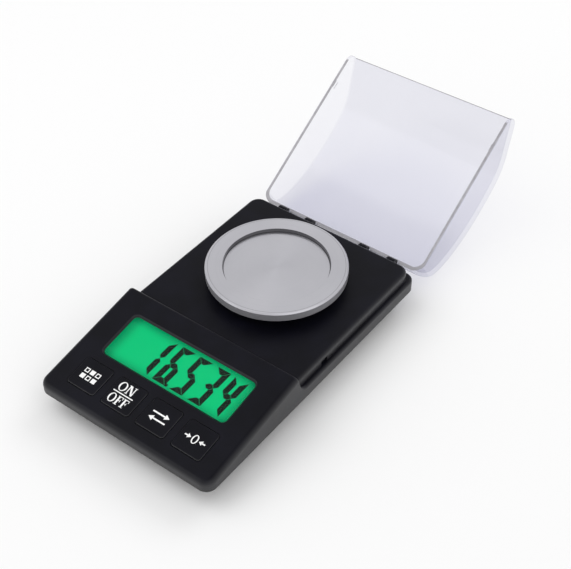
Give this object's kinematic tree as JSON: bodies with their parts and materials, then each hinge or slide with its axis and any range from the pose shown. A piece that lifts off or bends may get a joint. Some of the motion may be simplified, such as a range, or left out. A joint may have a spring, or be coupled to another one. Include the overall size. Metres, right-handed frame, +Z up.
{
  "type": "digital jewelry scale",
  "caption": "Pocket digital weighing scale: inclined key and display panel, raised round steel pan and a clear hinged draught shield.",
  "frame": {"origin": "on the table, under the middle of the whole scale with its shield open", "axes": "+X to the right across the scale, +Y from the keys back to the hinge, +Z up"},
  "size_m": [0.08, 0.1988, 0.0504],
  "materials": {
    "black_plastic": "satin",
    "key_plastic": "satin",
    "clear_plastic": "clear",
    "pan_steel": "brushed",
    "screw_steel": "plain",
    "aluminium": "plain",
    "rubber": "matte",
    "window": "clear",
    "lcd": "gloss",
    "white_plastic": "matte",
    "board_green": "gloss",
    "chip_black": "matte",
    "gold": "plain",
    "cell_wrap": "gloss",
    "lead_red": "satin"
  },
  "bodies": {
    "casing": {"lower_casing": "black_plastic", "upper_casing": "black_plastic", "rubber_feet": "rubber", "casing_screws": "screw_steel", "battery_cells": "cell_wrap", "terminal_contacts": "screw_steel", "bridge_contact": "screw_steel", "lcd_lens": "window", "lcd_glass": "lcd", "lcd_backlight": "white_plastic", "zebra_strip": "rubber", "lcd_frame": "white_plastic", "main_board": "board_green", "board_screws": "screw_steel", "key_switches": "chip_black", "controller_chip": "chip_black", "converter_chip": "chip_black", "board_capacitors": "aluminium", "load_cell_beam": "aluminium", "strain_gauges": "gold", "load_cell_arm": "screw_steel", "fixed_end_screws": "screw_steel", "free_end_screws": "screw_steel", "overload_stop_screw": "screw_steel", "pan_table": "white_plastic", "pan_table_screw": "screw_steel", "pan_cushion": "rubber", "hinge_pins": "screw_steel", "battery_leads": "lead_red", "load_cell_leads": "lead_red"},
    "pan": {"weighing_pan": "pan_steel"},
    "shield": {"shield_lid": "clear_plastic"},
    "door": {"battery_door": "black_plastic"},
    "count_button": {"count_key": "key_plastic", "count_switch_plunger": "white_plastic"},
    "power_button": {"power_key": "key_plastic", "power_switch_plunger": "white_plastic"},
    "mode_button": {"mode_key": "key_plastic", "mode_switch_plunger": "white_plastic"},
    "tare_button": {"tare_key": "key_plastic", "tare_switch_plunger": "white_plastic"}
  },
  "joints": [
    {"name": "shield_hinge", "type": "hinge", "parent": "casing", "child": "shield", "pos_m": [0, 0.03008, 0.01252], "axis": [1, 0, 0], "range_deg": [0, 148]},
    {"name": "pan_lift", "type": "slide", "parent": "casing", "child": "pan", "axis": [0, 0, 1], "range_m": [0, 0.0011]},
    {"name": "door_slide", "type": "slide", "parent": "casing", "child": "door", "axis": [-1, 0, 0], "range_m": [0, 0.024]},
    {"name": "count_press", "type": "slide", "parent": "casing", "child": "count_button", "axis": [0, 0.184, -0.9829], "range_m": [0, 0.0005], "stiffness_N_per_m": 800},
    {"name": "power_press", "type": "slide", "parent": "casing", "child": "power_button", "axis": [0, 0.184, -0.9829], "range_m": [0, 0.0005], "stiffness_N_per_m": 800},
    {"name": "mode_press", "type": "slide", "parent": "casing", "child": "mode_button", "axis": [0, 0.184, -0.9829], "range_m": [0, 0.0005], "stiffness_N_per_m": 800},
    {"name": "tare_press", "type": "slide", "parent": "casing", "child": "tare_button", "axis": [0, 0.184, -0.9829], "range_m": [0, 0.0005], "stiffness_N_per_m": 800}
  ]
}
